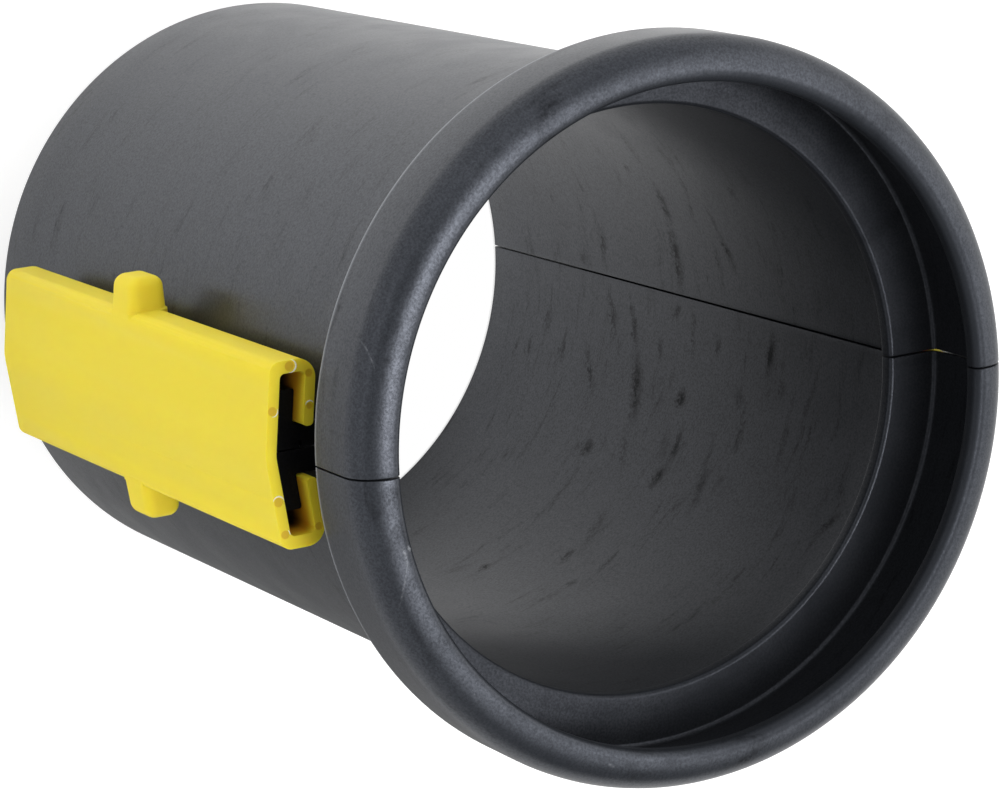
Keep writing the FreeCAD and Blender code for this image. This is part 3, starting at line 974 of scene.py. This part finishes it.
def clip_material(name, turned):
    """Yellow moulded plastic, with painted shade that turns it orange and then brown inside the channel,
    and a painted highlight on the burrs of its front face.
    """
    material, n = new_material(name)
    x, y, z = n.place()
    if turned:
        x, y = n.product(x, -1.0), n.product(y, -1.0)
    place = n.vector(x, y, z)
    mottle = n.noise(place, CLIP_MOTTLE_SCALE, detail=3.0)
    yellow = n.mix(mottle, CLIP_YELLOW_DEEP, CLIP_YELLOW)

    # Painted shade: inside the channel the colour sinks to orange and then brown with the depth from either
    # end
    across = n.math("ABSOLUTE", x)
    height = n.math("SUBTRACT", n.product(across, math.tan(SPINE_TILT)), y)
    above = n.between(height, *CHANNEL_FLOOR_HEIGHTS)
    below = n.beyond(height, *CHANNEL_ROOF_HEIGHTS)
    inside = n.product(above, below, n.beyond(across, *CHANNEL_SIDES))
    depth = n.math("MINIMUM", n.math("SUBTRACT", CLIP_FRONT, z), n.math("SUBTRACT", z, CLIP_BACK))
    shaded = n.mix(n.between(depth, *SHADE_ORANGE_DEPTHS), yellow, CLIP_SHADE_ORANGE)
    shaded = n.mix(n.between(depth, *SHADE_BROWN_DEPTHS), shaded, CLIP_SHADE_BROWN)
    colour = n.mix(inside, yellow, shaded)

    # The marks of the mould, and a painted highlight on the burrs of the front face
    pins = spots(n, x, y, PIN_MARKS, PIN_MARK_SOFTNESS)
    marked = n.product(pins, n.between(z, *PIN_MARK_LEVELS), CLIP_MARK_SHARE)
    colour = n.mix(marked, colour, CLIP_MARK)
    colour = n.mix(n.between(z, *BURR_HIGHLIGHT_LEVELS), colour, CLIP_BURR_HIGHLIGHT)

    n.principled({
        "Base Color": colour,
        "Roughness": n.between(mottle, *MOTTLE_LIMITS, *CLIP_ROUGHNESS),
        "IOR": CLIP_IOR,
        "Specular IOR Level": CLIP_GLOSS,
        "Subsurface Weight": CLIP_GLOW_SHARE,
        "Subsurface Radius": CLIP_GLOW_COLOUR,
        "Subsurface Scale": CLIP_GLOW_METRES,
        "Normal": n.bump(n.noise(place, CLIP_GRAIN_SCALE), CLIP_GRAIN_RELIEF),
    })
    return material


def add_piece(made, name, material):
    """Give a piece its material, and set it in place of its node."""
    made.data.materials.clear()
    made.data.materials.append(material)
    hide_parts(name)
    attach(made, "root")


def build_object():
    """The four pieces."""
    for name, turn, side in (("right_half_shell", 0, 1), ("left_half_shell", math.pi, -1)):
        made = half_shell(name + "_moulding", turn)
        add_piece(made, name, shell_material(name + "_plastic", side))
    for name, turn in (("front_locking_clip", 0), ("rear_locking_clip", math.pi)):
        made = locking_clip(name + "_moulding", turn)
        add_piece(made, name, clip_material(name + "_plastic", turned=turn > 0))


def floor_material():
    """A pale floor, white to the camera, with a glow towards -X in a gloss. It keeps the shadow."""
    material, n = new_material("pale_floor")
    matt = n.add("ShaderNodeBsdfDiffuse")
    n.fill(matt, {"Color": FLOOR_COLOUR})
    x, y = n.place()[:2]
    ray = n.add("ShaderNodeLightPath").outputs
    sideways = n.between(x, *FLOOR_GLOW_LIMITS, *FLOOR_GLOW_SIDES)
    in_gloss = n.between(n.distance(x, y), *FLOOR_GLOW_DISTANCES, sideways, FLOOR_GLOW_FAR)
    glow = n.add("ShaderNodeEmission")
    n.fill(glow, {"Strength": n.math("MAXIMUM", n.product(ray["Is Camera Ray"], FLOOR_WHITE), in_gloss)})
    mirrored = n.math("ADD", ray["Is Glossy Ray"], ray["Is Transmission Ray"], clamp=True)
    seen = n.product(ray["Is Camera Ray"], FLOOR_CAMERA_SHARE)
    share = n.math("ADD", seen, n.product(mirrored, FLOOR_GLOSS_SHARE), clamp=True)
    mixed = n.add("ShaderNodeMixShader")
    n.fill(mixed, {0: share, 1: matt.outputs[0], 2: glow.outputs[0]})
    n.surface(mixed)
    return material


def backdrop_material():
    """The white backdrop that shows through the bore, dimmer in a gloss away from its middle."""
    material, n = new_material("bore_backdrop_white")
    x, y = n.place()[:2]
    middle_x, middle_y = BACKDROP_GLOW_MIDDLE
    away = n.distance(n.math("SUBTRACT", x, middle_x), n.math("SUBTRACT", y, middle_y))
    in_gloss = n.between(away, *BACKDROP_GLOW_DISTANCES, *BACKDROP_GLOW)
    ray = n.add("ShaderNodeLightPath").outputs
    glow = n.add("ShaderNodeEmission")
    n.fill(glow, {"Strength": n.math("MAXIMUM", ray["Is Camera Ray"], in_gloss)})
    n.surface(glow)
    return material


def add_disc(name, radius, level, material):
    """A flat disc of the stage round the axis, facing up."""
    circle = circle_outline(0, 0, radius, DISC_SIDES)
    made = new_mesh_object(name, [(point.x, point.y, level) for point in circle], [list(range(DISC_SIDES))])
    made.data.materials.append(material)


def build_stage():
    """The floor and the backdrop under the bore."""
    add_disc("floor", FLOOR_RADIUS, FLOOR_LEVEL, floor_material())
    add_disc("bore_backdrop", BACKDROP_RADIUS, BACKDROP_LEVEL, backdrop_material())


def build_world():
    """Soft lights round the object, and darkness between them."""
    world = bpy.data.worlds.new("soft_studio")
    bpy.context.scene.world = world
    world.use_nodes = True
    n = Nodes(world.node_tree)
    direction = n.add("ShaderNodeTexCoord").outputs["Generated"]
    strength = 0.0
    for azimuth, elevation, power, narrowness in SOFT_LIGHTS:
        turn, rise = math.radians(azimuth), math.radians(elevation)
        towards = (math.cos(turn) * math.cos(rise), math.sin(turn) * math.cos(rise), math.sin(rise))
        dot = n.add("ShaderNodeVectorMath", operation="DOT_PRODUCT")
        n.fill(dot, {0: direction, 1: towards})
        lobe = n.math("POWER", n.math("MAXIMUM", dot.outputs["Value"], 0.0), float(narrowness))
        strength = n.math("MULTIPLY_ADD", lobe, power, strength)
    sky = n.add("ShaderNodeBackground")
    n.fill(sky, {"Color": LIGHT_COLOUR, "Strength": strength})
    n.surface(sky, "ShaderNodeOutputWorld")


def build_camera():
    """The camera at the photograph's viewing angle."""
    data = bpy.data.cameras.new("camera")
    data.sensor_width = CAMERA_SENSOR
    data.lens = CAMERA_LENS
    data.clip_start = CAMERA_NEAR_METRES
    data.clip_end = CAMERA_FAR_METRES
    made = bpy.data.objects.new("camera", data)
    turn = Matrix((CAMERA_RIGHT, CAMERA_UP, -CAMERA_FORWARD)).transposed().to_4x4()
    made.matrix_world = Matrix.Translation(CAMERA_PLACE * MM) @ turn
    bpy.context.scene.collection.objects.link(made)
    bpy.context.scene.camera = made


build_camera()
build_object()
build_stage()
build_world()
bpy.context.scene.view_settings.view_transform = "Standard"
